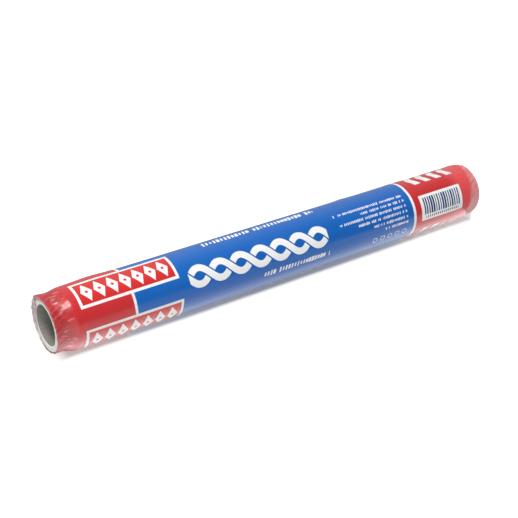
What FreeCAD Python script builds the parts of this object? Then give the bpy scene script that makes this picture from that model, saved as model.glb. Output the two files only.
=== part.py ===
import FreeCAD, Part
import math
import os

import Sketcher

# Roll of household aluminium foil: a cardboard core that stands out of both ends of the winding,
# the wound foil, and a shrunk plastic film that holds both and is gathered down onto the core.
# The roll stands on its far end. +Z is its axis, the near (open) end is up, and z = 0 is the
# film's fold on the floor. Headings turn about +Z from +X, in degrees. Lengths are millimetres.

SIZES = {
    "core_bore_radius": 12.5,
    "core_wall": 3.5,
    "core_projection": 12.0,
    "rim_chamfer": 0.4,
    "foil_width": 300.0,
    "foil_build": 2.65,
    "foil_edge_bevel": 1.5,
    "winding_clearance": 0.05,
    "turn_mark_count": 2,
    "turn_mark_pitch": 0.9,
    "turn_mark_width": 0.24,
    "turn_mark_depth": 0.3,
    "film_thickness": 0.2,
    "film_slack": 0.1,
    "rim_gap": 0.1,
    "near_neck_slack": 0.4,
    "near_neck_height": 4.0,
    "near_edge_drop": 0.6,
    "far_neck_slack": 1.2,
    "far_neck_height": 3.0,
    "fold_round": 0.7,
    "fold_margin": 0.6,
    "near_fold_angle": 150.0,
    "near_fold_heading": 85.0,
    "fold_root": 1.0,
    "lap_width": 5.0,
    "lap_heading": 77.0,
    "pleat_count": 16,
    "pleat_width": 1.1,
    "pleat_height": 0.35,
    "near_pleat_length": 8.0,
    "far_pleat_length": 7.0,
}

# Sizes that follow from the driving ones, as expressions on the sheet
CORE_RADIUS = "(Sizes.core_bore_radius + Sizes.core_wall)"
CORE_LENGTH = "(Sizes.foil_width + 2 * Sizes.core_projection)"
CORE_BASE = "(Sizes.film_thickness + Sizes.rim_gap)"
CORE_TOP = f"({CORE_BASE} + {CORE_LENGTH})"
FOIL_BORE = f"({CORE_RADIUS} + Sizes.winding_clearance)"
FOIL_RADIUS = f"({FOIL_BORE} + Sizes.foil_build)"
FOIL_BASE = f"({CORE_BASE} + Sizes.core_projection)"
FOIL_TOP = f"({FOIL_BASE} + Sizes.foil_width)"
ROUND_CENTRE = f"({FOIL_RADIUS} - Sizes.foil_edge_bevel)"
SHOULDER_INNER = "(Sizes.foil_edge_bevel + Sizes.film_slack)"
SHOULDER_OUTER = f"({SHOULDER_INNER} + Sizes.film_thickness)"
FILM_RADIUS = f"({FOIL_RADIUS} + Sizes.film_slack + Sizes.film_thickness)"
FILM_TOP = f"({CORE_TOP} + Sizes.rim_gap + Sizes.film_thickness)"
NEAR_NECK_INNER = f"({CORE_RADIUS} + Sizes.near_neck_slack)"
NEAR_NECK_OUTER = f"({NEAR_NECK_INNER} + Sizes.film_thickness)"
NEAR_EDGE = f"({CORE_TOP} - Sizes.near_edge_drop)"
NEAR_NECK_FOOT = f"({CORE_TOP} - Sizes.near_neck_height)"
FAR_NECK_INNER = f"({CORE_RADIUS} + Sizes.far_neck_slack)"
FAR_NECK_OUTER = f"({FAR_NECK_INNER} + Sizes.film_thickness)"
FOLD_EDGE = "(Sizes.core_bore_radius + Sizes.fold_margin)"
FOLD_ROUND_INNER = "(Sizes.fold_round - Sizes.film_thickness)"

# The way an outline turns on a round
RIGHT = 1
LEFT = -1


def make_sheet(doc):
    """The sheet with one driving size on each row: its name, its value and its alias."""
    sheet = doc.addObject("Spreadsheet::Sheet", "Sizes")
    for row, (name, value) in enumerate(SIZES.items(), start=1):
        sheet.set(f"A{row}", name)
        sheet.set(f"B{row}", str(value))
        sheet.setAlias(f"B{row}", name)
    doc.recompute()
    return sheet


def make_body(doc, label):
    body = doc.addObject("PartDesign::Body", label)
    body.Label = label
    return body


def make_sketch(body, name, role):
    """A sketch on one of the body's own origin planes."""
    sketch = body.newObject("Sketcher::SketchObject", name)
    plane = next(item for item in body.Origin.OriginFeatures if item.Role == role)
    sketch.AttachmentSupport = [(plane, "")]
    sketch.MapMode = "FlatFace"
    return sketch


def bind(sketch, kind, places, expression):
    """A dimension whose value the expression gives."""
    value = float(sketch.evalExpression(expression))
    index = sketch.addConstraint(Sketcher.Constraint(kind, *places, value))
    sketch.setExpression(f"Constraints[{index}]", expression)


def place_point(sketch, geometry, end, horizontal, vertical):
    """Holds one point of the sketch at its distances from the origin."""
    bind(sketch, "DistanceX", (-1, 1, geometry, end), horizontal)
    if vertical == "0":
        sketch.addConstraint(Sketcher.Constraint("PointOnObject", geometry, end, -1))
    else:
        bind(sketch, "DistanceY", (-1, 1, geometry, end), vertical)


def tangent_line(first, second):
    """End points of the line that leaves one round (x, y, signed radius) and meets the next."""
    across = second[0] - first[0]
    along = second[1] - first[1]
    span = math.hypot(across, along)
    heading = math.atan2(along, across) - math.asin((first[2] - second[2]) / span)
    normal = (-math.sin(heading), math.cos(heading))
    return [(stop[0] + normal[0] * stop[2], stop[1] + normal[1] * stop[2])
            for stop in (first, second)]


def draw_outline(sketch, stops):
    """Closed outline through corners (x, y) and rounds (x, y, radius, turn).

    A round's x and y are its centre, and its turn is RIGHT or LEFT as the outline is followed.
    """
    circles = []
    for stop in stops:
        numbers = [float(sketch.evalExpression(expression)) for expression in stop[:3]]
        if len(stop) == 2:
            circles.append((numbers[0], numbers[1], 0.0))
        else:
            circles.append((numbers[0], numbers[1], numbers[2] * stop[3]))
    lines = []
    for first, second in zip(circles, circles[1:] + circles[:1]):
        start, end = tangent_line(first, second)
        edge = Part.LineSegment(FreeCAD.Vector(*start, 0), FreeCAD.Vector(*end, 0))
        lines.append(sketch.addGeometry(edge))
    for number, stop in enumerate(stops):
        before = lines[number - 1]
        after = lines[number]
        if len(stop) == 2:
            sketch.addConstraint(Sketcher.Constraint("Coincident", before, 2, after, 1))
            place_point(sketch, after, 1, stop[0], stop[1])
        else:
            draw_round(sketch, before, after, stop, circles[number])


def draw_round(sketch, before, after, stop, circle):
    """The arc between two lines of an outline, tangent to both."""
    centre = FreeCAD.Vector(circle[0], circle[1], 0)
    radius = abs(circle[2])
    arrival = sketch.Geometry[before].EndPoint - centre
    leaving = sketch.Geometry[after].StartPoint - centre
    angles = [math.atan2(arrival.y, arrival.x), math.atan2(leaving.y, leaving.x)]
    if stop[3] == RIGHT:
        angles.reverse()
    if angles[1] < angles[0]:
        angles[1] += 2 * math.pi
    circle_curve = Part.Circle(centre, FreeCAD.Vector(0, 0, 1), radius)
    arc = sketch.addGeometry(Part.ArcOfCircle(circle_curve, *angles))
    arc_ends = {LEFT: (1, 2), RIGHT: (2, 1)}[stop[3]]
    sketch.addConstraint(Sketcher.Constraint("Tangent", before, 2, arc, arc_ends[0]))
    sketch.addConstraint(Sketcher.Constraint("Tangent", after, 1, arc, arc_ends[1]))
    bind(sketch, "Radius", (arc,), stop[2])
    place_point(sketch, arc, 3, stop[0], stop[1])


def revolve(body, sketch, name, angle="360", heading="0"):
    """Turns a sketch about +Z, over an angle that is centred on the heading."""
    sketch.AttachmentOffset = FreeCAD.Placement(
        FreeCAD.Vector(), FreeCAD.Rotation(FreeCAD.Vector(0, 1, 0), 1))
    sketch.setExpression("AttachmentOffset.Rotation.Angle", heading)
    feature = body.newObject("PartDesign::Revolution", name)
    feature.Profile = sketch
    feature.ReferenceAxis = (sketch, ["V_Axis"])
    feature.Midplane = True
    feature.setExpression("Angle", angle)
    sketch.Visibility = False
    return feature


def make_core(doc):
    """Cardboard tube, with both rims slightly worn at their edges."""
    core = make_body(doc, "core_tube")
    ring = make_sketch(core, "core_ring", "XY_Plane")
    for expression in ("Sizes.core_bore_radius", CORE_RADIUS):
        radius = float(ring.evalExpression(expression))
        circle = ring.addGeometry(
            Part.Circle(FreeCAD.Vector(), FreeCAD.Vector(0, 0, 1), radius))
        ring.addConstraint(Sketcher.Constraint("Coincident", circle, 3, -1, 1))
        bind(ring, "Radius", (circle,), expression)
    tube = core.newObject("PartDesign::Pad", "core_wall_pad")
    tube.Profile = ring
    tube.setExpression("Length", CORE_LENGTH)
    doc.recompute()
    rims = core.newObject("PartDesign::Chamfer", "core_rims")
    names = [f"Edge{number}" for number, edge in enumerate(tube.Shape.Edges, start=1)
             if isinstance(edge.Curve, Part.Circle)]
    rims.Base = (tube, names)
    rims.setExpression("Size", "Sizes.rim_chamfer")
    core.setExpression("Placement.Base.z", CORE_BASE)
    return core


def make_foil(doc, sheet):
    """The wound foil: one solid, its corners crushed, with marks of its turns on both ends."""
    foil = make_body(doc, "foil_winding")
    section = make_sketch(foil, "winding_section", "XZ_Plane")
    bevel_edge = f"({FOIL_RADIUS} - Sizes.foil_edge_bevel)"
    draw_outline(section, [
        (FOIL_BORE, "0"),
        (FOIL_BORE, "Sizes.foil_width"),
        (bevel_edge, "Sizes.foil_width"),
        (FOIL_RADIUS, "Sizes.foil_width - Sizes.foil_edge_bevel"),
        (FOIL_RADIUS, "Sizes.foil_edge_bevel"),
        (bevel_edge, "0"),
    ])
    revolve(foil, section, "winding")
    marks = make_sketch(foil, "turn_marks", "XZ_Plane")
    half = "Sizes.turn_mark_width / 2"
    for turn in range(1, int(sheet.turn_mark_count) + 1):
        middle = f"({FOIL_BORE} + {turn} * Sizes.turn_mark_pitch)"
        draw_outline(marks, [
            (f"{middle} - {half}", "0"),
            (middle, "Sizes.turn_mark_depth"),
            (f"{middle} + {half}", "0"),
        ])
        draw_outline(marks, [
            (f"{middle} - {half}", "Sizes.foil_width"),
            (f"{middle} + {half}", "Sizes.foil_width"),
            (middle, "Sizes.foil_width - Sizes.turn_mark_depth"),
        ])
    grooves = foil.newObject("PartDesign::Groove", "turn_grooves")
    grooves.Profile = marks
    grooves.ReferenceAxis = (marks, ["V_Axis"])
    grooves.Angle = 360
    foil.setExpression("Placement.Base.z", FOIL_BASE)
    return foil


def film_wall(film):
    """The sleeve: near neck, body between two rounded shoulders, far neck and far fold."""
    near_centre = f"({FOIL_TOP} - Sizes.foil_edge_bevel)"
    far_centre = f"({FOIL_BASE} + Sizes.foil_edge_bevel)"
    fold_centre = f"({FAR_NECK_OUTER} - Sizes.fold_round)"
    section = make_sketch(film, "sleeve_section", "XZ_Plane")
    draw_outline(section, [
        (NEAR_NECK_INNER, NEAR_EDGE),
        (NEAR_NECK_OUTER, NEAR_EDGE),
        (NEAR_NECK_OUTER, NEAR_NECK_FOOT),
        (ROUND_CENTRE, near_centre, SHOULDER_OUTER, RIGHT),
        (ROUND_CENTRE, far_centre, SHOULDER_OUTER, RIGHT),
        (FAR_NECK_OUTER, "Sizes.far_neck_height"),
        (fold_centre, "Sizes.fold_round", "Sizes.fold_round", RIGHT),
        (FOLD_EDGE, "0"),
        (FOLD_EDGE, "Sizes.film_thickness"),
        (fold_centre, "Sizes.fold_round", FOLD_ROUND_INNER, LEFT),
        (FAR_NECK_INNER, "Sizes.far_neck_height"),
        (ROUND_CENTRE, far_centre, SHOULDER_INNER, LEFT),
        (ROUND_CENTRE, near_centre, SHOULDER_INNER, LEFT),
        (NEAR_NECK_INNER, NEAR_NECK_FOOT),
    ])
    revolve(film, section, "sleeve")


def film_near_fold(film):
    """The near edge, folded over the core's rim on one side only, so the rim shows beside it."""
    centre = f"({NEAR_NECK_OUTER} - Sizes.fold_round)"
    height = f"({FILM_TOP} - Sizes.fold_round)"
    root = f"({NEAR_EDGE} - Sizes.fold_root)"
    section = make_sketch(film, "near_fold_section", "XZ_Plane")
    draw_outline(section, [
        (FOLD_EDGE, FILM_TOP),
        (centre, height, "Sizes.fold_round", RIGHT),
        (NEAR_NECK_OUTER, root),
        (NEAR_NECK_INNER, root),
        (centre, height, FOLD_ROUND_INNER, LEFT),
        (FOLD_EDGE, f"({FILM_TOP} - Sizes.film_thickness)"),
    ])
    revolve(film, section, "near_fold", "Sizes.near_fold_angle", "Sizes.near_fold_heading")


def film_lap(film):
    """The sleeve's welded lap, a second thickness of film from one shoulder to the other."""
    low = f"({FOIL_BASE} + Sizes.foil_edge_bevel)"
    high = f"({FOIL_TOP} - Sizes.foil_edge_bevel)"
    inner = f"({FILM_RADIUS} - Sizes.film_thickness / 2)"
    outer = f"({FILM_RADIUS} + Sizes.film_thickness)"
    section = make_sketch(film, "lap_section", "XZ_Plane")
    draw_outline(section, [
        (inner, low),
        (inner, high),
        (outer, high),
        (outer, low),
    ])
    angle = f"(Sizes.lap_width / {FILM_RADIUS} * 180 / pi)"
    revolve(film, section, "lap", angle, "Sizes.lap_heading")


def film_pleats(film, end, neck_outer, base, length):
    """The gathers of one neck: ridges along it, which run out in the slope of the shoulder."""
    tip = f"({neck_outer} + Sizes.pleat_height)"
    root = f"({neck_outer} - Sizes.film_thickness / 2)"
    sketch = make_sketch(film, f"{end}_pleat_section", "XY_Plane")
    sketch.setExpression("AttachmentOffset.Base.z", base)
    tip_at = float(sketch.evalExpression(tip))
    root_at = float(sketch.evalExpression(root))
    half = float(sketch.evalExpression("Sizes.pleat_width / 2"))
    corners = [FreeCAD.Vector(root_at, -half, 0), FreeCAD.Vector(tip_at, 0, 0),
               FreeCAD.Vector(root_at, half, 0)]
    lines = [sketch.addGeometry(Part.LineSegment(first, second))
             for first, second in zip(corners, corners[1:] + corners[:1])]
    for before, after in zip(lines, lines[1:] + lines[:1]):
        sketch.addConstraint(Sketcher.Constraint("Coincident", before, 2, after, 1))
    sketch.addConstraint(Sketcher.Constraint("Symmetric", lines[0], 1, lines[1], 2, -1))
    sketch.addConstraint(Sketcher.Constraint("PointOnObject", lines[0], 2, -1))
    bind(sketch, "DistanceX", (-1, 1, lines[0], 2), tip)
    bind(sketch, "DistanceX", (-1, 1, lines[0], 1), root)
    bind(sketch, "DistanceY", (lines[0], 1, lines[1], 2), "Sizes.pleat_width")
    ridge = film.newObject("PartDesign::Pad", f"{end}_pleat")
    ridge.Profile = sketch
    ridge.setExpression("Length", length)
    ring = film.newObject("PartDesign::PolarPattern", f"{end}_pleats")
    ring.Originals = [ridge]
    ring.Axis = (sketch, ["N_Axis"])
    ring.Angle = 360
    ring.setExpression("Occurrences", "Sizes.pleat_count")
    film.Tip = ring


def make_film(doc):
    """The shrunk film sleeve, with its lap, its folds and the gathers of both necks."""
    film = make_body(doc, "film_wrapper")
    film_wall(film)
    film_lap(film)
    near_base = f"({NEAR_EDGE} - Sizes.near_pleat_length)"
    film_pleats(film, "near", NEAR_NECK_OUTER, near_base, "Sizes.near_pleat_length")
    film_pleats(film, "far", FAR_NECK_OUTER, "Sizes.fold_round", "Sizes.far_pleat_length")
    film_near_fold(film)
    return film


def check_document(doc, bodies):
    """Stops before anything is written if an object failed or a shape is not sound."""
    for item in doc.Objects:
        if {"Invalid", "Error"} & set(item.State):
            raise RuntimeError(f"{item.Name} is {item.State}")
    for body in bodies:
        if body.Shape.isNull() or not body.Shape.isValid() or len(body.Shape.Solids) != 1:
            raise RuntimeError(f"{body.Label} is not one sound solid")


def main():
    doc = FreeCAD.newDocument("foil_roll")
    sheet = make_sheet(doc)
    bodies = [make_core(doc), make_foil(doc, sheet), make_film(doc)]
    doc.recompute()
    check_document(doc, bodies)
    os.makedirs("parts", exist_ok=True)
    for body in bodies:
        body.Shape.exportStep(f"parts/{body.Label}.step")
        print(body.Label, round(body.Shape.Volume, 1), "mm3")


main()
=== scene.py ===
import math

import bpy
import numpy as np
from mathutils import Matrix, Vector, noise


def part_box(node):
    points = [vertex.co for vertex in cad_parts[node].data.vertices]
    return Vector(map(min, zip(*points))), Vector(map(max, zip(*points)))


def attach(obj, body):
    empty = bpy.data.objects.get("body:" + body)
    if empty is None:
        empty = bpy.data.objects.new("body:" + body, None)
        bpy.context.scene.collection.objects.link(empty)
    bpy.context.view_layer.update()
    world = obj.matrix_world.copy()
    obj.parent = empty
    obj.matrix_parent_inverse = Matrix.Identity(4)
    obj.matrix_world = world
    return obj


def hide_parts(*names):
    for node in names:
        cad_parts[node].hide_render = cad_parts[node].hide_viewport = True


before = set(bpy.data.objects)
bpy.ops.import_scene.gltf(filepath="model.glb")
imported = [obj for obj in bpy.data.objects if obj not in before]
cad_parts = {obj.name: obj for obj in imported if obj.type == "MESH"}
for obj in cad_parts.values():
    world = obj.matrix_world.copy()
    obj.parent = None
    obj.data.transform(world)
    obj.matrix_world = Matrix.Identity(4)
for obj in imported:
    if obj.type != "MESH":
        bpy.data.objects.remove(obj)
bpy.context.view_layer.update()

MM = 0.001
DEGREE = math.pi / 180
FULL_TURN = 360

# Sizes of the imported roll, in millimetres. s runs down the roll from its near (upper) end.
_, film_high = (Vector(corner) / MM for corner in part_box("film_wrapper"))
core_low, core_high = (Vector(corner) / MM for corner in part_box("core_tube"))
foil_low, foil_high = (Vector(corner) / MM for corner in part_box("foil_winding"))
HEIGHT = film_high.z
BODY_RADIUS = film_high.x
CORE_RADIUS = core_high.x
NEAR_FACE = HEIGHT - foil_high.z
FAR_FACE = HEIGHT - foil_low.z

# A label angle turns from the side that was up in the photograph towards its camera.
LABEL_ZERO = -32.93
UPPER_OUTLINE = -33

# Where the film turns in over the winding's ends. It does so later over the far end, by up to
# FAR_LATE, around the label angle LATE_MIDDLE.
NEAR_SHOULDER = NEAR_FACE - 0.1
FAR_TURN = FAR_FACE + 0.3
FAR_LATE = 8.0
LATE_MIDDLE = -20
LATE_HALF_SPAN = 130
LATE_RAMP = 110
LATE_POWER = 0.8


def heading(label_angle):
    """Heading about +Z, in radians, of an angle on the label in degrees."""
    return (LABEL_ZERO - label_angle) * DEGREE


def ease(value):
    value = np.clip(value, 0, 1)
    return value * value * (3 - 2 * value)


# Camera

CAMERA_PLACE = Vector((0, -582.6, 517.6)) * MM
CAMERA_AIM = Vector((-1.9, 0, 178.0)) * MM
CAMERA_ROLL = 108.19
CAMERA_LENS = 73.97
CAMERA_SENSOR = 36
CAMERA_CLIP_START = 0.01


def make_camera():
    camera = bpy.data.objects.new("camera", bpy.data.cameras.new("camera"))
    bpy.context.scene.collection.objects.link(camera)
    camera.data.lens = CAMERA_LENS
    camera.data.sensor_width = CAMERA_SENSOR
    camera.data.clip_start = CAMERA_CLIP_START
    level = (CAMERA_AIM - CAMERA_PLACE).to_track_quat("-Z", "Y").to_matrix()
    roll = Matrix.Rotation(-CAMERA_ROLL * DEGREE, 3, "Z")
    camera.matrix_world = Matrix.Translation(CAMERA_PLACE) @ (level @ roll).to_4x4()
    bpy.context.scene.camera = camera


# Nodes: a small arithmetic for fields that vary over a surface

class Field:
    """The output of a shader node, with arithmetic that adds math nodes."""

    def __init__(self, tree, socket):
        self.tree = tree
        self.socket = socket

    def math(self, operation, *others):
        node = self.tree.nodes.new("ShaderNodeMath")
        node.operation = operation
        for slot, value in zip(node.inputs, (self,) + others):
            feed(self.tree, slot, value)
        return Field(self.tree, node.outputs[0])

    def __add__(self, other):
        return self.math("ADD", other)

    def __sub__(self, other):
        return self.math("SUBTRACT", other)

    def __mul__(self, other):
        return self.math("MULTIPLY", other)

    def __truediv__(self, other):
        return self.math("DIVIDE", other)

    def __rsub__(self, other):
        return self * -1.0 + other

    def __rtruediv__(self, other):
        return self.math("POWER", -1.0) * other

    def __abs__(self):
        return self.math("ABSOLUTE")

    def min(self, other):
        return self.math("MINIMUM", other)

    def max(self, other):
        return self.math("MAXIMUM", other)

    def sin(self):
        return self.math("SINE")

    def cos(self):
        return self.math("COSINE")

    def floor(self):
        return self.math("FLOOR")

    def clamp(self):
        return self.max(0.0).min(1.0)

    def wrap(self, centre, pitch):
        """Distance from the nearest of a row of centres, one each pitch."""
        return (self - (centre - pitch / 2)).math("FLOORED_MODULO", pitch) - pitch / 2

    def chance(self, seed):
        """A fixed value from 0 to 1 for each whole number."""
        return ((self * 12.9898 + seed).sin() * 43758.5453).math("FRACT")


def feed(tree, slot, value):
    """Gives an input slot a field or a constant."""
    if isinstance(value, Field):
        tree.links.new(value.socket, slot)
    else:
        slot.default_value = value


def rising(value, start, length):
    """0 up to a start, and 1 from a length past it."""
    return ((value - start) / length).clamp()


def falling(value, end, length):
    """1 up to a length before an end, and 0 past it."""
    return ((end - value) / length).clamp()


def srgb(red, green, blue):
    """Linear colour of an 8-bit screen colour."""
    channels = []
    for level in (red, green, blue):
        level = level / 255
        channels.append(level / 12.92 if level <= 0.04045 else ((level + 0.055) / 1.055) ** 2.4)
    return (*channels, 1.0)


def blend_colour(tree, factor, first, second):
    node = tree.nodes.new("ShaderNodeMix")
    node.data_type = "RGBA"
    feed(tree, node.inputs["Factor"], factor)
    feed(tree, node.inputs[6], first)
    feed(tree, node.inputs[7], second)
    return Field(tree, node.outputs[2])


def noise_field(tree, place, scale, detail, stretch=(1, 1, 1)):
    mapping = tree.nodes.new("ShaderNodeMapping")
    mapping.inputs["Scale"].default_value = stretch
    tree.links.new(place.socket, mapping.inputs["Vector"])
    texture = tree.nodes.new("ShaderNodeTexNoise")
    texture.inputs["Scale"].default_value = scale
    texture.inputs["Detail"].default_value = detail
    tree.links.new(mapping.outputs["Vector"], texture.inputs["Vector"])
    return Field(tree, texture.outputs["Fac"])


def bump(tree, height, distance, strength):
    """Normal from a height field, in metres of distance."""
    node = tree.nodes.new("ShaderNodeBump")
    node.inputs["Distance"].default_value = distance
    node.inputs["Strength"].default_value = strength
    feed(tree, node.inputs["Height"], height)
    return Field(tree, node.outputs["Normal"])


def new_material(name):
    """A material with its tree, its Principled shader and its object coordinates."""
    material = bpy.data.materials.new(name)
    material.use_nodes = True
    tree = material.node_tree
    shader = tree.nodes["Principled BSDF"]
    coordinates = tree.nodes.new("ShaderNodeTexCoord")
    return material, tree, shader, Field(tree, coordinates.outputs["Object"])


def parts_of(tree, vector):
    node = tree.nodes.new("ShaderNodeSeparateXYZ")
    tree.links.new(vector.socket, node.inputs[0])
    return [Field(tree, output) for output in node.outputs]


# Print of the film. Lengths along the roll (s) and around it (arc) are in millimetres.

ARC = BODY_RADIUS * DEGREE
PRINT_EDGE = 0.12
PRINT_PITCH = 147 * ARC
FRAME_PITCH = 96 * ARC
NEAR_BORDER = 49.0
FAR_BORDER = 262.9

INK_RED = srgb(209, 48, 52)
INK_BRIGHT_RED = srgb(216, 45, 45)
INK_BLUE = srgb(20, 103, 192)
INK_WHITE = srgb(250, 251, 251)
INK_BAR = srgb(39, 72, 127)
INK_SHADOW = srgb(12, 59, 136)


def mask(distance):
    """1 inside a shape and 0 outside, from the distance to its edge, with a thin soft edge."""
    return (distance / PRINT_EDGE + 0.5).clamp()


def box_distance(across, along, half_across, half_along, corner=0.0):
    """Distance inside the edge of a rounded rectangle about the origin."""
    side = abs(across) - (half_across - corner)
    top = abs(along) - (half_along - corner)
    outside_side = side.max(0.0)
    outside_top = top.max(0.0)
    outside = (outside_side * outside_side + outside_top * outside_top).math("SQRT")
    inside = side.max(top).min(0.0)
    return corner - outside - inside


def length_of(across, along):
    return (across * across + along * along).math("SQRT")


def print_frames(s, arc):
    """White-edged panels across the red and blue fields, each with a row of lozenges."""
    middle_s = 48.5
    half_length = 31.85
    half_height = 9.43
    line = 1.7
    along = s - middle_s
    across = arc.wrap(21.95 * ARC, FRAME_PITCH)
    panel = mask(box_distance(across, along, half_height, half_length))
    inner = mask(box_distance(across, along, half_height - line, half_length - line))
    lozenge_pitch = 8.2
    lozenge_count = 7
    half_lozenge_length = 3.5
    half_lozenge_height = 6.4
    dot_radius = 0.95
    lean = along.wrap(0.0, lozenge_pitch) - across * 0.12
    inside = 1.0 - abs(lean) / half_lozenge_length - abs(across) / half_lozenge_height
    lozenge = mask(inside * 2.8)
    dot = mask(dot_radius - length_of(lean, across))
    row = mask(lozenge_count / 2 * lozenge_pitch - abs(along))
    marks = lozenge * row * (1.0 - dot)
    return panel, inner, marks


def print_braid(s, arc):
    """Two white bands that wind over and under each other along the blue field."""
    start = 86.0
    end = 189.5
    lobes = 7
    swing = 5.0
    half_band = 2.15
    gap = 1.0
    crossing_sharpness = 50.0
    across = arc.wrap(58 * ARC, PRINT_PITCH)
    turn_rate = lobes * math.pi / (end - start)
    turn = (s - start) * turn_rate
    wave_offset = turn.sin() * swing
    slope = turn.cos() * (turn_rate * swing)
    lean = (slope * slope + 1.0).math("SQRT")
    first = half_band - abs(across - wave_offset) / lean
    second = half_band - abs(across + wave_offset) / lean
    extent = mask(box_distance(across, s - (start + end) / 2, swing + half_band + 1, (end - start) / 2))
    over_first = mask(first).max(mask(second) * (1.0 - mask(first + gap)))
    over_second = mask(second).max(mask(first) * (1.0 - mask(second + gap)))
    crossing = (turn.cos() * crossing_sharpness + 0.5).clamp()
    return (over_first * crossing + over_second * (1.0 - crossing)) * extent


def print_dashes(s, arc, middle, start, end, height, pitch, seed, slant=0.2):
    """A row of small slanted strokes in groups, where the real film has a line of small type."""
    across = arc.wrap(middle * ARC, PRINT_PITCH)
    lean = s + across * slant
    number = (lean / pitch).floor()
    cell = lean.wrap(pitch / 2, pitch)
    half_width = number.chance(seed) * (pitch * 0.22) + pitch * 0.22
    half_height = number.chance(seed + 3.1) * (height * 0.2) + height * 0.32
    stroke = mask((half_width - abs(cell)).min(half_height - abs(across)))
    word = (number.chance(seed + 7.7) * 20.0 - 2.5).clamp()
    extent = mask((s - start).min(end - s))
    return stroke * word * extent


def print_small_lines(s, arc):
    """The block of six small lines, set flush towards the far end."""
    right_edge = 256.8
    left_edges = (198.5, 219.5, 200.5, 213.5, 226.5, 236.5)
    first_angle = 29.4
    angle_step = 11.2
    height = 1.9
    pitch = 1.35
    slant = 0.1
    total = None
    for number, left_edge in enumerate(left_edges):
        angle = first_angle + number * angle_step
        seed = 2.3 * number
        line = print_dashes(s, arc, angle, left_edge, right_edge, height, pitch, seed, slant)
        total = line if total is None else total.max(line)
    return total


def print_icons(s, arc):
    """A row of small outlined shapes, rings and squares in turn."""
    start = 225.0
    pitch = 6.4
    count = 5
    half_size = 1.75
    along = s - start
    across = arc.wrap(105.5 * ARC, PRINT_PITCH)
    cell = along.wrap(pitch / 2, pitch)
    number = (along / pitch).floor()
    odd = number.math("FLOORED_MODULO", 2.0)
    ring = mask(0.22 - abs(length_of(across, cell) - half_size))
    square = mask(box_distance(across, cell, half_size, half_size, 0.5))
    square = square - mask(box_distance(across, cell, half_size - 0.4, half_size - 0.4, 0.3))
    extent = mask(along.min(count * pitch - along))
    return (ring * (1.0 - odd) + square * odd) * extent


def print_chevrons(s, arc):
    """Broad white chevrons on the far red field. The last two are lower."""
    start = 268.5
    pitch = 9.8
    count = 4
    half_height = 6.7
    lowered = 3.0
    half_width = 2.6
    across = arc.wrap(-6.5 * ARC, PRINT_PITCH)
    lean = s - start - abs(across) * 0.45
    low = mask(lean - 2 * pitch)
    within = (half_height - across).min(half_height - low * lowered + across)
    extent = mask(lean.min(count * pitch - lean).min(within))
    return mask(half_width - abs(lean.wrap(pitch / 2, pitch))) * extent


def print_bar_panel(s, arc):
    """The white panel on the far red field, and its made-up bars with a row of ticks."""
    middle_s = 287.9
    half_height = 8.95
    half_length = 18.8
    across = arc.wrap(69.5 * ARC, PRINT_PITCH)
    along = s - middle_s
    panel = mask(box_distance(across, along, half_height, half_length, 0.3))
    bar_pitch = 2.1
    number = (along / bar_pitch).floor()
    half_width = number.chance(1.7) * 0.5 + 0.34
    bars = mask(half_width - abs(along.wrap(bar_pitch / 2, bar_pitch)))
    bars = bars * mask((5.9 - abs(across + 1.1)).min(16.2 - abs(along)))
    tick_pitch = 1.9
    ticks = mask((0.45 - abs(along.wrap(0.0, tick_pitch))).min(0.85 - abs(across - 6.7)))
    ticks = ticks * mask(15.2 - abs(along))
    return panel, bars.max(ticks)


def white_marks(s, arc):
    """All white marks that stand straight on the red and blue fields."""
    upper_words = print_dashes(s, arc, -4.5, 106.0, 190.0, 4.2, 2.7, 0.4)
    lower_words = print_dashes(s, arc, 97.0, 138.0, 189.5, 3.6, 2.3, 5.9)
    white = print_braid(s, arc).max(upper_words).max(lower_words)
    white = white.max(print_small_lines(s, arc) * 0.85).max(print_icons(s, arc) * 0.9)
    return white.max(print_chevrons(s, arc))


def film_print(tree, s, arc):
    """Colour of the printed side at each place on the label, and a mask of its white."""
    near_line = mask(0.8 - abs(s - NEAR_BORDER))
    far_line = mask(1.0 - abs(s - FAR_BORDER))
    blue = mask((s - NEAR_BORDER).min(FAR_BORDER - s))
    colour = blend_colour(tree, blue, INK_RED, INK_BLUE)
    colour = blend_colour(tree, near_line.max(far_line), colour, INK_WHITE)
    braid_shadow = print_braid(s - 0.5, arc - 0.35)
    colour = blend_colour(tree, braid_shadow * 0.6, colour, INK_SHADOW)
    white = white_marks(s, arc)
    colour = blend_colour(tree, white, colour, INK_WHITE)
    panel, inner, marks = print_frames(s, arc)
    colour = blend_colour(tree, panel, colour, INK_WHITE)
    colour = blend_colour(tree, inner, colour, INK_BRIGHT_RED)
    colour = blend_colour(tree, marks, colour, INK_WHITE)
    bar_panel, bars = print_bar_panel(s, arc)
    colour = blend_colour(tree, bar_panel, colour, INK_WHITE)
    return blend_colour(tree, bars * bar_panel, colour, INK_BAR), white.max(bar_panel)


# Materials of the film

# The inks let some of the foil's shine through, so the print reflects more than plain film.
FILM_IOR = 1.95
WIDE_FOLD_MIDDLE = 250
WIDE_FOLD_HALF = 71.0


def angle_off(arc, label_angle):
    """Degrees around the roll from a label angle, to either side."""
    return abs(arc.wrap(label_angle * ARC, FULL_TURN * ARC)) / ARC


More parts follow.
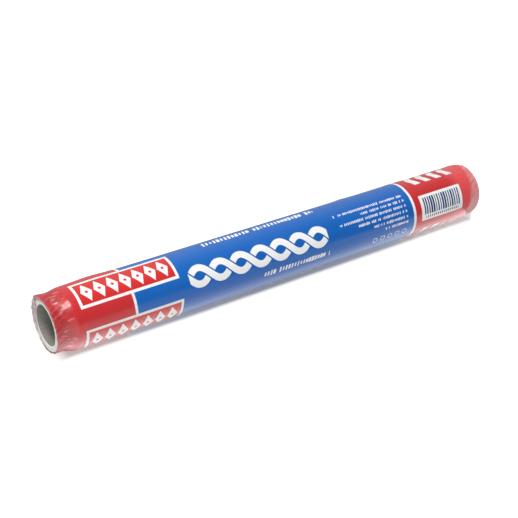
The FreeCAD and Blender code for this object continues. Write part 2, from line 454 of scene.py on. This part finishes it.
def near_end_colour(tree, s, place, colour):
    """Dark and pale streaks along the gathers of the near end: the darker red is partly the film's tint
    over the bare core and partly painted shade, and the pale streaks and crests are painted highlights.
    """
    streaks = noise_field(tree, place, 300.0, 2.0, stretch=(1, 1, 0.45))
    # darker red streaks: partly the film's tint over the bare core, partly painted shade along the gathers
    dark = falling(s, 13.0, 6.0) * (streaks * 1.6 - 0.25).clamp()
    colour = blend_colour(tree, dark, colour, srgb(164, 36, 41))
    # painted highlight: pale streaks along the gathers near the rim
    pale = falling(s, 6.0, 4.0) * (streaks * 5.0 - 3.0).clamp()
    colour = blend_colour(tree, pale * 0.5, colour, srgb(224, 140, 140))
    # painted highlight: pale pink streaks on the crests of the gathers
    painted_crest_highlights = noise_field(tree, place, 560.0, 2.0, stretch=(1, 1, 0.28))
    painted_crest_highlights = (painted_crest_highlights * 7.0 - 4.1).clamp() * rising(s, 2.0, 3.0) * falling(s, 12.0, 3.0)
    return blend_colour(tree, painted_crest_highlights * 0.7, colour, srgb(253, 180, 177))


def far_end_colour(tree, s, arc, place, colour, white):
    """The film pales past the winding's far end, and more so where it has turned in. Its turned-in lower
    side is painted paler as a painted reflection of the floor, and a painted highlight runs along the
    crease.
    """
    late = falling(angle_off(arc, LATE_MIDDLE), LATE_HALF_SPAN, LATE_RAMP).math("POWER", LATE_POWER)
    past_crease = s - FAR_TURN - late * FAR_LATE
    thin = rising(s, 299.0, 10.0) * (1.0 - white)
    colour = blend_colour(tree, thin, colour, srgb(235, 82, 85))
    turned_in = rising(past_crease, -1.5, 3.0)
    patches = (noise_field(tree, place, 330.0, 3.0) * 1.6 - 0.3).clamp()
    colour = blend_colour(tree, turned_in * patches, colour, srgb(242, 173, 175))
    # painted reflection: the turned-in lower side, next to the floor, is painted paler
    painted_floor_reflection = falling(angle_off(arc, 150), 100.0, 50.0)
    colour = blend_colour(tree, turned_in * painted_floor_reflection * 0.55, colour, srgb(254, 203, 205))
    # painted highlight: a pale line along the crease where the film turns in
    cloud = noise_field(tree, place, 55.0, 2.0)
    crease = falling(abs(past_crease), 0.6, 0.6) * (cloud * 2.4 - 0.7).clamp()
    return blend_colour(tree, crease * 0.6, colour, srgb(242, 179, 183))


def fold_colour(tree, s, arc, place, colour):
    """Greyed edges of the film, on the wide fold over the near rim and under the far end, mottled between
    painted highlight and painted shade of their crumples.
    """
    mottle = (noise_field(tree, place, 420.0, 3.0) * 3.0 - 1.0).clamp()
    # the grey of the film over the rim, mottled between painted highlight and painted shade
    grey_fold_lit_and_shaded = blend_colour(tree, mottle, srgb(159, 124, 126), srgb(218, 205, 205))
    wide_fold = falling(angle_off(arc, WIDE_FOLD_MIDDLE), WIDE_FOLD_HALF, WIDE_FOLD_HALF / 12)
    on_folds = falling(s, 0.35, 0.5) * (wide_fold * 0.85 + 0.15)
    on_folds = on_folds.max(rising(s, 324.0, 0.5))
    return blend_colour(tree, on_folds, colour, grey_fold_lit_and_shaded)


def film_front_material():
    """Printed side: the print, its changes at both ends, and the wrinkles of the shrunk film."""
    material, tree, shader, place = new_material("printed_film_front")
    label = tree.nodes.new("ShaderNodeUVMap")
    label.uv_map = "Label"
    arc, s, _ = parts_of(tree, Field(tree, label.outputs["UV"]))
    arc = arc / MM
    s = s / MM
    colour, white = film_print(tree, s, arc)
    colour = near_end_colour(tree, s, place, colour)
    colour = far_end_colour(tree, s, arc, place, colour, white)
    colour = fold_colour(tree, s, arc, place, colour)
    feed(tree, shader.inputs["Base Color"], colour)
    rough = noise_field(tree, place, 140.0, 3.0)
    crinkled = falling(s, 13.0, 5.0).max(rising(s, 310.0, 5.0))
    feed(tree, shader.inputs["Roughness"], rough * 0.16 + crinkled * 0.1 + 0.14)
    shader.inputs["IOR"].default_value = FILM_IOR
    long_wrinkles = noise_field(tree, place, 90.0, 4.0, stretch=(1, 1, 0.18))
    fine = noise_field(tree, place, 420.0, 2.0, stretch=(1, 1, 0.5))
    folds = 1.0 - abs(noise_field(tree, place, 170.0, 2.0, stretch=(1, 1, 0.7)) * 6.0 - 3.0).min(1.0)
    height = long_wrinkles * 0.8 + fine * 0.12 + crinkled * folds * 0.7
    feed(tree, shader.inputs["Normal"], bump(tree, height, 0.25 * MM, 0.55))
    return material


def film_back_material():
    """Unprinted side: the print shows through it, pale and greyed."""
    material, tree, shader, place = new_material("printed_film_back")
    cloud = noise_field(tree, place, 160.0, 3.0)
    colour = blend_colour(tree, cloud, srgb(189, 145, 145), srgb(215, 180, 178))
    feed(tree, shader.inputs["Base Color"], colour)
    feed(tree, shader.inputs["Roughness"], cloud * 0.15 + 0.2)
    wrinkles = noise_field(tree, place, 260.0, 3.0, stretch=(1, 1, 0.4))
    feed(tree, shader.inputs["Normal"], bump(tree, wrinkles, 0.2 * MM, 0.5))
    return material


# Film sleeve: a sheet rolled up past its own edge, shrunk onto both ends of the core

LAP_ANGLE = 250
LAP_WIDTH = 15
SHEET_GAP = 0.15
FILM_THICKNESS = 0.12

NEAR_NECK = CORE_RADIUS + 0.5
NEAR_FOOT = 4.0
NEAR_CONE_POWER = 1.5
NEAR_SLACK = 1.6
FAR_NECK = CORE_RADIUS + 1.2
FAR_FOOT = HEIGHT - 3.6
SHOULDER_SOFTNESS = 0.25

NEAR_CORNER = core_high.z - 0.25
NEAR_ROUND = 0.5
NEAR_NECK_START = 1.5
FAR_CORNER = 0.55
FAR_ROUND = 0.55
FAR_NECK_START = 1.2

# Spacing of the sheet's vertices: the body has few rows, and both ends have many
COLUMN_STEP = 1.2
BODY_START = 19
BODY_END = 305
NEAR_FOLD_ROWS = 17
NEAR_ROWS = 54
BODY_ROWS = 58
FAR_ROWS = 44
FAR_FOLD_ROWS = 13
INNER_STEP = 3

GATHER_COUNT = 40
GATHER_RUN_OUT = 3.5
NEAR_GATHER_SHIFT = 0.3
RANDOM_SEED = 11

draws = np.random.RandomState(RANDOM_SEED)


def soft_min(first, second, softness):
    return -softness * np.logaddexp(-first / softness, -second / softness)


def soft_max(first, second, softness):
    return softness * np.logaddexp(first / softness, second / softness)


def bell(value, middle, width):
    return np.exp(-((value - middle) / width) ** 2)


def turned(angle):
    """Angle in degrees, brought into -180 to 180."""
    return (angle + FULL_TURN / 2) % FULL_TURN - FULL_TURN / 2


def make_gathers(count, amplitude, width, reach, lean):
    """Random ridges of one neck: angle, height, half-width, length and lean of each."""
    spacing = FULL_TURN / count
    gathers = []
    for number in range(count):
        gathers.append({
            "angle": (number + draws.uniform(-0.45, 0.45)) * spacing,
            "height": draws.uniform(0.35, 1.0) * amplitude,
            "width": draws.uniform(0.6, 1.3) * width,
            "reach": draws.uniform(0.55, 1.0) * reach,
            "lean": draws.uniform(0.3, 1.2) * lean,
        })
    return gathers


NEAR_GATHERS = make_gathers(GATHER_COUNT, 0.38, 1.4, 11.5, -1.9)
FAR_GATHERS = make_gathers(GATHER_COUNT, 0.36, 1.5, 11.5, 1.6)


def gather_height(gathers, angle, distance):
    """How far the gathers stand out, at a distance from the end of the core."""
    height = np.zeros(np.broadcast(angle, distance).shape)
    for ridge in gathers:
        offset = turned(angle - ridge["angle"] - ridge["lean"] * distance)
        run_out = ease((ridge["reach"] - distance) / GATHER_RUN_OUT)
        height += ridge["height"] * bell(offset, 0, ridge["width"]) * run_out
    return height


def loose_side(angle):
    """How loose the film is over the near end: 1 where it stands off the core, 0 where it is tight."""
    return bell(turned(angle + 38), 0, 42)


def lateness(angle):
    """How much later the film turns in over the far end: 1 at the most, 0 on the lower side."""
    off_middle = abs(turned(angle - LATE_MIDDLE))
    return np.clip((LATE_HALF_SPAN - off_middle) / LATE_RAMP, 0, 1) ** LATE_POWER


def near_cone(s, angle):
    """Radius of the film where it widens from the near neck to the winding."""
    rise = np.clip((s - NEAR_FOOT) / (NEAR_SHOULDER - NEAR_FOOT), 0, 2) ** NEAR_CONE_POWER
    radius = NEAR_NECK + (BODY_RADIUS - NEAR_NECK) * rise
    return radius + NEAR_SLACK * loose_side(angle) * ease((15 - s) / 15)


def far_cone(s, late):
    """Radius of the film where it narrows from the winding to the far neck."""
    shoulder = FAR_TURN + FAR_LATE * late
    foot = FAR_FOOT + 1.6 * late
    neck = FAR_NECK + 1.1 * late
    radius = neck + (foot - s) * (BODY_RADIUS - neck) / (foot - shoulder)
    return soft_max(radius, neck, SHOULDER_SOFTNESS)


def slack(s, angle, late):
    """Slack along the upper outline, and the crease where the film turns in at the far end."""
    off_outline = turned(angle - UPPER_OUTLINE)
    stands_off = 0.65 * bell(off_outline, 0, 30) * bell(s, 33, 11)
    stands_off = stands_off + 0.25 * bell(off_outline, 0, 12) * (bell(s, 220, 4) + bell(s, 266, 7))
    past_shoulder = s - (FAR_TURN + FAR_LATE * late)
    creased = 0.2 * bell(past_shoulder, 0, 0.5) - 0.12 * bell(past_shoulder, 1.3, 0.6)
    return stands_off + creased * ease(late / 0.3)


def sleeve_radius(s, angle):
    """Radius of the shrunk film over the core ends, the shoulders and the winding."""
    late = lateness(angle)
    radius = soft_min(near_cone(s, angle), far_cone(s, late), SHOULDER_SOFTNESS)
    radius = soft_min(radius, BODY_RADIUS, SHOULDER_SOFTNESS)
    return radius + slack(s, angle, late)


def near_reach(angle):
    """How far past the core's rim the near edge of the film goes, along the film."""
    side = turned(angle - 243)
    wide = ease((76 - side) / 13) * ease((side + 62) / 40)
    narrow = ease((78 - abs(turned(angle - 30))) / 28)
    ragged = (0.3 * np.sin(5 * side * DEGREE + 0.6) + 0.22 * np.sin(11 * side * DEGREE)
              + 0.14 * np.sin(23 * side * DEGREE + 1.0))
    bare_reach = 0.35 + 0.16 * np.sin(4 * angle * DEGREE) + 0.1 * np.sin(9 * angle * DEGREE + 2)
    narrow_reach = 1.55 + 0.5 * ragged
    wide_reach = 4.25 + 0.8 * ragged
    reach = bare_reach + narrow * (narrow_reach - bare_reach)
    reach = reach + wide * (wide_reach - reach)
    return reach + NEAR_SLACK * loose_side(angle)


def far_reach(angle):
    """How far past the core's far rim the film goes, along the film."""
    ragged = 0.3 * np.sin(4 * angle * DEGREE) + 0.2 * np.sin(13 * angle * DEGREE + 0.5)
    return 0.5 * math.pi * FAR_ROUND + 3.2 + ragged


def fold_path(distance, neck, corner_round):
    """Radius and height of a folded edge, and its normal, at a distance past its corner."""
    turn = np.clip(distance / corner_round, 0, math.pi / 2)
    before = np.minimum(distance, 0)
    past = np.maximum(distance - corner_round * math.pi / 2, 0)
    radius = neck - corner_round * (1 - np.cos(turn)) - past
    height = corner_round * np.sin(turn) + before
    return radius, height, np.cos(turn), np.sin(turn)


def sheet_columns():
    """Angles of the sheet's columns, from its inner edge to its outer edge past the lap."""
    first = LAP_ANGLE - LAP_WIDTH / 2 - FULL_TURN
    last = LAP_ANGLE + LAP_WIDTH / 2
    count = round((last - first) / COLUMN_STEP)
    return np.linspace(first, last, count + 1)


def sheet_rows():
    """Row values: fractions along the near fold, s down the sleeve, fractions along the far fold."""
    near_start = HEIGHT - (NEAR_CORNER - NEAR_NECK_START)
    far_start = HEIGHT - (FAR_CORNER + FAR_NECK_START)
    near_fold = np.linspace(1, 0, NEAR_FOLD_ROWS)[:-1]
    near = np.linspace(near_start, BODY_START, NEAR_ROWS)[:-1]
    body = np.linspace(BODY_START, BODY_END, BODY_ROWS)[:-1]
    far = np.linspace(BODY_END, far_start, FAR_ROWS)
    far_fold = np.linspace(0, 1, FAR_FOLD_ROWS)[1:]
    return near_fold, np.concatenate([near, body, far]), far_fold


def near_fold_grid(angle, fold, first_s, over_lap):
    """Radius, height and s of the sheet over the near rim."""
    distance = -NEAR_NECK_START + fold[:, None] * (near_reach(angle) + NEAR_NECK_START)
    neck = sleeve_radius(first_s, angle)
    radius, rise, out, up = fold_path(distance, neck, NEAR_ROUND)
    gathers = gather_height(NEAR_GATHERS, angle, np.maximum(-distance, 0) + NEAR_GATHER_SHIFT)
    inward = np.clip(distance / 4.2, 0, 1)
    curl = 0.12 * inward ** 2 * (1 + np.sin(7 * angle * DEGREE + 1.2))
    standing = 0.35 * ease((110 - abs(turned(angle - 262))) / 30) * bell(distance, 0.7, 1.2)
    lift = gathers * (1 - 0.75 * inward) + over_lap + curl + standing
    return radius + out * lift, NEAR_CORNER + rise + up * lift, HEIGHT - NEAR_CORNER - distance


def sleeve_grid(angle, s, over_lap):
    """Radius, height and s of the sheet between its folds."""
    radius = sleeve_radius(s, angle) + over_lap
    radius = radius + gather_height(NEAR_GATHERS, angle, s - (HEIGHT - NEAR_CORNER) + NEAR_GATHER_SHIFT)
    radius = radius + gather_height(FAR_GATHERS, angle, np.maximum(HEIGHT - FAR_CORNER - s, 0))
    return radius, HEIGHT - s + 0 * angle, s + 0 * angle


def far_fold_grid(angle, fold, last_s, over_lap):
    """Radius, height and s of the sheet under the far rim."""
    distance = -FAR_NECK_START + fold[:, None] * (far_reach(angle) + FAR_NECK_START)
    neck = sleeve_radius(last_s, angle)
    radius, rise, out, _ = fold_path(distance, neck, FAR_ROUND)
    gathers = gather_height(FAR_GATHERS, angle, np.maximum(-distance, 0))
    return radius + out * (gathers + over_lap), FAR_CORNER - rise, HEIGHT - FAR_CORNER + distance


def wave(point_rows, scale, seed):
    """Smooth noise at each point of a grid, from -1 to 1."""
    flat = point_rows.reshape(-1, 3) * scale + seed
    values = np.array([noise.noise(Vector(point)) for point in flat])
    return values.reshape(point_rows.shape[:2])


def swell(points, label_s):
    """Crumples of both ends and the long waves of the body, outwards."""
    crumple = wave(points, 0.4, 3.0) * 0.6 + wave(points, 1.5, 9.0) * 0.25
    near_end = ease((17 - label_s) / 6) * (1 - 0.5 * bell(label_s, 7, 4))
    far_end = ease((label_s - 308) / 5) * ease((HEIGHT - 0.8 - label_s) / 2)
    body = ease((label_s - 14) / 8) * ease((311 - label_s) / 8)
    sway = wave(points * np.array([1, 1, 0.22]), 0.16, 20.0)
    return (0.16 * near_end + 0.2 * far_end) * crumple + 0.1 * body * (sway + 0.35)


def film_points():
    """Grid of the film's outer side, and the s coordinate of its print."""
    angle = sheet_columns()[None, :]
    near_fold, straight, far_fold = sheet_rows()
    lap_start = LAP_ANGLE - LAP_WIDTH / 2
    over_lap = SHEET_GAP * ease((angle - (lap_start - 5)) / 4)
    grids = [near_fold_grid(angle, near_fold, straight[0], over_lap),
             sleeve_grid(angle, straight[:, None], over_lap),
             far_fold_grid(angle, far_fold, straight[-1], over_lap)]
    radius, height, label_s = (np.concatenate(rows) for rows in zip(*grids))
    turn = heading(angle) + 0 * radius
    points = np.stack([radius * np.cos(turn), radius * np.sin(turn), height], axis=-1)
    outward = np.stack([np.cos(turn), np.sin(turn), 0 * turn], axis=-1)
    return points + outward * swell(points, label_s)[..., None], label_s


def grid_normals(points):
    down = np.gradient(points, axis=0)
    across = np.gradient(points, axis=1)
    normals = np.cross(across, down)
    return normals / np.linalg.norm(normals, axis=-1, keepdims=True)


def kept_inner_rows(count):
    """Rows of the inner side: all of them at the folds, and every third between."""
    near_fold, _, far_fold = sheet_rows()
    first = len(near_fold)
    last = count - len(far_fold) - 1
    return list(range(first)) + list(range(first, last, INNER_STEP)) + list(range(last, count))


def grid_faces(rows, columns, offset, inward):
    """Faces of a grid of vertices, which face out of the sleeve or into it."""
    faces = []
    for row in range(rows - 1):
        for column in range(columns - 1):
            corner = offset + row * columns + column
            below = corner + columns
            if inward:
                faces.append((corner, below, below + 1, corner + 1))
            else:
                faces.append((corner, corner + 1, below + 1, below))
    return faces


def edge_faces(rows, columns, kept):
    """Faces that join the outer and the inner side along the four edges of the sheet."""

    def outside(row, column):
        return row * columns + column

    def inside(place, column):
        return (rows + place) * columns + column

    last_row = rows - 1
    last_place = len(kept) - 1
    last_column = columns - 1
    faces = []
    for column in range(last_column):
        faces.append((outside(0, column + 1), outside(0, column),
                      inside(0, column), inside(0, column + 1)))
        faces.append((outside(last_row, column), outside(last_row, column + 1),
                      inside(last_place, column + 1), inside(last_place, column)))
    for place in range(last_place):
        span = range(kept[place], kept[place + 1] + 1)
        faces.append([outside(row, 0) for row in span] + [inside(place + 1, 0), inside(place, 0)])
        faces.append([outside(row, last_column) for row in reversed(span)]
                     + [inside(place, last_column), inside(place + 1, last_column)])
    return faces


def add_label_layer(mesh, label_s, kept):
    """The place on the label, in metres around and along it, for both sides of the sheet."""
    arc = np.broadcast_to(sheet_columns()[None, :] * ARC, label_s.shape)
    label = np.stack([arc, label_s], axis=-1)
    label = np.concatenate([label.reshape(-1, 2), label[kept].reshape(-1, 2)]) * MM
    corners = np.empty(len(mesh.loops), dtype=np.int32)
    mesh.loops.foreach_get("vertex_index", corners)
    layer = mesh.uv_layers.new(name="Label")
    layer.data.foreach_set("uv", label[corners].ravel().astype(np.float32))


def mark_sheet_edges(mesh, first_edge_face):
    """Keeps the thin edge faces from bending the shading of both sides."""
    edge_keys = set()
    for face in mesh.polygons[first_edge_face:]:
        edge_keys.update(face.edge_keys)
    for edge in mesh.edges:
        if edge.key in edge_keys:
            edge.use_edge_sharp = True
    mesh.update()


def make_film(front, back):
    """The sleeve as a closed thin slab: printed side, inner side and the edges between them."""
    outer, label_s = film_points()
    rows, columns = outer.shape[:2]
    kept = kept_inner_rows(rows)
    inner = (outer - grid_normals(outer) * FILM_THICKNESS)[kept]
    vertices = np.concatenate([outer.reshape(-1, 3), inner.reshape(-1, 3)]) * MM
    printed = grid_faces(rows, columns, 0, inward=False)
    backing = grid_faces(len(kept), columns, rows * columns, inward=True)
    faces = printed + backing + edge_faces(rows, columns, kept)
    first_edge_face = len(printed) + len(backing)

    mesh = bpy.data.meshes.new("film_sleeve")
    mesh.from_pydata(vertices.tolist(), [], faces)
    add_label_layer(mesh, label_s, kept)
    mesh.materials.append(front)
    mesh.materials.append(back)
    slots = np.zeros(len(faces), dtype=np.int32)
    slots[len(printed):] = 1
    mesh.polygons.foreach_set("material_index", slots)
    smooth = np.ones(len(faces), dtype=bool)
    smooth[first_edge_face:] = False
    mesh.polygons.foreach_set("use_smooth", smooth)
    mark_sheet_edges(mesh, first_edge_face)
    film = bpy.data.objects.new("film_sleeve", mesh)
    bpy.context.scene.collection.objects.link(film)
    return film


# Core and foil

SEAM_PITCH = 62.0
PLY_PITCH = 0.7
PAINTED_SHADE_DEPTH = 13.0
TURNS_PER_MM = 2.4


def core_material():
    """Grey spiral-wound board: fibres, a seam line that winds along it, plies on its ends, and painted
    shade deeper in the bore from both ends.
    """
    material, tree, shader, place = new_material("core_board")
    x, y, z = parts_of(tree, place)
    height = z / MM
    turn = y.math("ARCTAN2", x) / (2 * math.pi)
    fibres = noise_field(tree, place, 900.0, 4.0, stretch=(1, 1, 0.35))
    mottle = noise_field(tree, place, 130.0, 3.0)
    board = blend_colour(tree, fibres, srgb(147, 144, 135), srgb(182, 179, 170))
    board = blend_colour(tree, mottle * 0.35, board, srgb(125, 122, 113))
    # painted shade: the board darkens deeper into the bore from either end
    painted_bore_shade = falling(height, core_high.z - 1.0, PAINTED_SHADE_DEPTH) * rising(height, core_low.z, PAINTED_SHADE_DEPTH)
    board = blend_colour(tree, painted_bore_shade * 0.4, board, srgb(73, 71, 66))
    seam = falling(abs((height + turn * SEAM_PITCH).wrap(0.0, SEAM_PITCH)), 0.45, 0.45)
    board = blend_colour(tree, seam * 0.5, board, srgb(83, 79, 75))
    on_rim = rising(height, core_high.z - 0.6, 0.3)
    on_foot = falling(height, core_low.z + 0.6, 0.3)
    radius = length_of(x, y) / MM
    plies = (abs(radius.wrap(0.0, PLY_PITCH)) / (PLY_PITCH / 2)).clamp()
    rim_colour = blend_colour(tree, plies * 0.5 + mottle * 0.3, srgb(253, 253, 249), srgb(230, 229, 223))
    colour = blend_colour(tree, on_rim.max(on_foot), board, rim_colour)
    feed(tree, shader.inputs["Base Color"], colour)
    shader.inputs["Roughness"].default_value = 0.85
    relief = fibres * 0.6 - seam * 0.8 + plies * on_rim * 0.3
    feed(tree, shader.inputs["Normal"], bump(tree, relief, 0.12 * MM, 0.6))
    return material


def foil_material():
    """Bright rolled foil, with the edges of its turns on both ends."""
    material, tree, shader, place = new_material("rolled_foil")
    x, y, _ = parts_of(tree, place)
    turns = (length_of(x, y) / MM * TURNS_PER_MM * math.pi * 2).sin()
    streaks = noise_field(tree, place, 300.0, 3.0, stretch=(1, 1, 0.05))
    colour = blend_colour(tree, streaks, srgb(200, 202, 206), srgb(232, 234, 236))
    feed(tree, shader.inputs["Base Color"], colour)
    shader.inputs["Metallic"].default_value = 1.0
    feed(tree, shader.inputs["Roughness"], streaks * 0.2 + 0.22)
    feed(tree, shader.inputs["Normal"], bump(tree, turns * 0.5 + streaks, 0.05 * MM, 0.4))
    return material


def dress_node(name, material):
    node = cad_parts[name]
    for slot in node.material_slots:
        slot.material = material


# Stage: floor, backdrop, world and lamps

STAGE_COLOUR = (0.39, 0.39, 0.39, 1)
BLACK = (0, 0, 0, 1)
WHITE = (1, 1, 1, 1)
STAGE_SIZE = 4.0
STAGE_GLOW = 0.95
SHADE_GLOW = 0.19
END_GLOW = 0.24
SHADE_REACH = 9.5
SHADE_FADE = 3.8
NEAR_SHADE_LOSS = 1.6
FLOOR_GAP = 0.05
BACKDROP_GAP = 0.3
WORLD_STRENGTH = 0.53
GLOSS_STRENGTH = 0.42


def place_by_roll(tree, sideways_angle):
    """Distance from the roll's axis towards a label angle, and height, in millimetres."""
    coordinates = tree.nodes.new("ShaderNodeTexCoord")
    x, y, z = parts_of(tree, Field(tree, coordinates.outputs["Object"]))
    sideways = heading(sideways_angle)
    return (x * math.cos(sideways) + y * math.sin(sideways)) / MM, z / MM


def stage_shader(name):
    """A matt surface with a glow of its own.

    Gives its material and tree, its colour and glow inputs, and its last shader and output nodes.
    """
    material = bpy.data.materials.new(name)
    material.use_nodes = True
    tree = material.node_tree
    tree.nodes.clear()
    output = tree.nodes.new("ShaderNodeOutputMaterial")
    diffuse = tree.nodes.new("ShaderNodeBsdfDiffuse")
    glow = tree.nodes.new("ShaderNodeEmission")
    glow.inputs["Color"].default_value = WHITE
    surface = tree.nodes.new("ShaderNodeAddShader")
    tree.links.new(diffuse.outputs[0], surface.inputs[0])
    tree.links.new(glow.outputs[0], surface.inputs[1])
    return material, tree, diffuse.inputs["Color"], glow.inputs["Strength"], surface, output


def lit_glow(distance, along):
    """Glow that is low close to the roll, which paints a shade band there over the real shadow, lighter
    towards the ends, and brings the rest to white.
    """
    height = (along / HEIGHT).clamp()
    reach = SHADE_REACH - height * height * height * NEAR_SHADE_LOSS
    rise = rising(abs(distance), reach, SHADE_FADE)
    rise = rise.max(rising(along, HEIGHT - 10.0, 9.0))
    from_middle = along / (HEIGHT / 2) - 1.0
    shade = (from_middle * from_middle).min(1.0) * END_GLOW + SHADE_GLOW
    return rise * STAGE_GLOW + (1.0 - rise) * shade


def floor_material():
    """Pale to the camera, and as dark as the backdrop's shade where it meets that."""
    material, tree, colour, glow, surface, output = stage_shader("floor")
    colour.default_value = STAGE_COLOUR
    distance, along = place_by_roll(tree, 90)
    towards_low, _ = place_by_roll(tree, 180)
    beside = rising(towards_low, 4.0, 10.0)
    strength = STAGE_GLOW - beside * (STAGE_GLOW - lit_glow(distance, along))
    path = tree.nodes.new("ShaderNodeLightPath")
    feed(tree, glow, Field(tree, path.outputs["Is Camera Ray"]) * strength)
    tree.links.new(surface.outputs[0], output.inputs["Surface"])
    return material


def backdrop_material():
    """Seen from the front alone. In reflections it is dark at the roll and bright beside it."""
    material, tree, colour, glow, surface, output = stage_shader("backdrop")
    path = tree.nodes.new("ShaderNodeLightPath")
    camera_ray = Field(tree, path.outputs["Is Camera Ray"])
    glossy_ray = Field(tree, path.outputs["Is Glossy Ray"])
    feed(tree, colour, blend_colour(tree, glossy_ray, STAGE_COLOUR, BLACK))
    distance, along = place_by_roll(tree, 90)
    past_peak = (abs(distance) - 15.0) / 14.0
    reflected = rising(abs(distance), 4.0, 12.0) * (0.9 / (past_peak * past_peak + 1.0) + 0.3)
    from_middle = (along / (HEIGHT / 2) - 1.0).max(-1.0).min(1.0)
    reflected = reflected * (from_middle * from_middle * 1.1 + 1.0)
    feed(tree, glow, camera_ray * lit_glow(distance, along) + glossy_ray * reflected)
    geometry = tree.nodes.new("ShaderNodeNewGeometry")
    clear = tree.nodes.new("ShaderNodeBsdfTransparent")
    chosen = tree.nodes.new("ShaderNodeMixShader")
    feed(tree, chosen.inputs[0], Field(tree, geometry.outputs["Backfacing"]))
    tree.links.new(surface.outputs[0], chosen.inputs[1])
    tree.links.new(clear.outputs[0], chosen.inputs[2])
    tree.links.new(chosen.outputs[0], output.inputs["Surface"])
    return material


def stage_plane(name, middle, across, along, material):
    """A rectangle about a middle point, which faces along the cross product of its sides."""
    corners = [middle - across - along, middle + across - along,
               middle + across + along, middle - across + along]
    mesh = bpy.data.meshes.new(name)
    mesh.from_pydata(corners, [], [(0, 1, 2, 3)])
    mesh.materials.append(material)
    plane = bpy.data.objects.new(name, mesh)
    bpy.context.scene.collection.objects.link(plane)
    return plane


def make_floor():
    middle = Vector((0, 0, -FLOOR_GAP * MM))
    across = Vector((STAGE_SIZE, 0, 0))
    along = Vector((0, STAGE_SIZE, 0))
    floor = stage_plane("floor", middle, across, along, floor_material())
    floor.visible_glossy = False


def make_backdrop():
    """Pale wall along the side that lay down in the photograph: it takes the shadow there.

    It takes no light from the roll.
    """
    low = heading(180)
    outward = Vector((math.cos(low), math.sin(low), 0))
    middle = outward * (BODY_RADIUS + BACKDROP_GAP) * MM + Vector((0, 0, STAGE_SIZE))
    across = Vector((0, 0, 1)).cross(outward) * STAGE_SIZE
    along = Vector((0, 0, -STAGE_SIZE))
    backdrop = stage_plane("backdrop", middle, across, along, backdrop_material())
    backdrop.visible_diffuse = False
    backdrop.visible_shadow = False


def make_world():
    """White surroundings, whose reflections are dark on the camera's side of the roll."""
    world = bpy.data.worlds.new("studio")
    bpy.context.scene.world = world
    world.use_nodes = True
    tree = world.node_tree
    background = tree.nodes["Background"]
    background.inputs["Color"].default_value = WHITE
    coordinates = tree.nodes.new("ShaderNodeTexCoord")
    _, y, _ = parts_of(tree, Field(tree, coordinates.outputs["Generated"]))
    in_gloss = rising(y, -0.75, 0.9) * GLOSS_STRENGTH
    path = tree.nodes.new("ShaderNodeLightPath")
    glossy = Field(tree, path.outputs["Is Glossy Ray"])
    camera_ray = Field(tree, path.outputs["Is Camera Ray"])
    strength = glossy * in_gloss + (1.0 - glossy) * WORLD_STRENGTH
    feed(tree, background.inputs["Strength"], strength.max(camera_ray))


def add_lamp(name, label_angle, elevation, distance, size, power, aim=HEIGHT / 2):
    """A square soft box that faces the axis of the roll at a height."""
    lamp = bpy.data.objects.new(name, bpy.data.lights.new(name, "AREA"))
    bpy.context.scene.collection.objects.link(lamp)
    lamp.data.size = size
    lamp.data.energy = power
    turn = heading(label_angle)
    rise = elevation * DEGREE
    middle = Vector((0, 0, aim * MM))
    outward = Vector((math.cos(turn) * math.cos(rise), math.sin(turn) * math.cos(rise), math.sin(rise)))
    lamp.location = middle + outward * distance
    lamp.rotation_euler = (-outward).to_track_quat("-Z", "Y").to_euler()
    return lamp


def add_lamps():
    """Two broad lamps in front, a small one that shines in the near shoulder, and one behind."""
    add_lamp("key", -2, 14, 1.2, 0.5, 7.9).visible_glossy = False
    add_lamp("fill", 88, 18, 1.5, 0.9, 5.7).visible_glossy = False
    add_lamp("spark", 14, 14, 0.6, 0.1, 0.65, aim=HEIGHT - 12)
    add_lamp("back", 215, 20, 1.5, 1.0, 2.6)


make_camera()
film = make_film(film_front_material(), film_back_material())
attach(film, "root")
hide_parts("film_wrapper")
dress_node("core_tube", core_material())
dress_node("foil_winding", foil_material())
make_floor()
make_backdrop()
make_world()
add_lamps()
bpy.context.scene.view_settings.view_transform = "Standard"
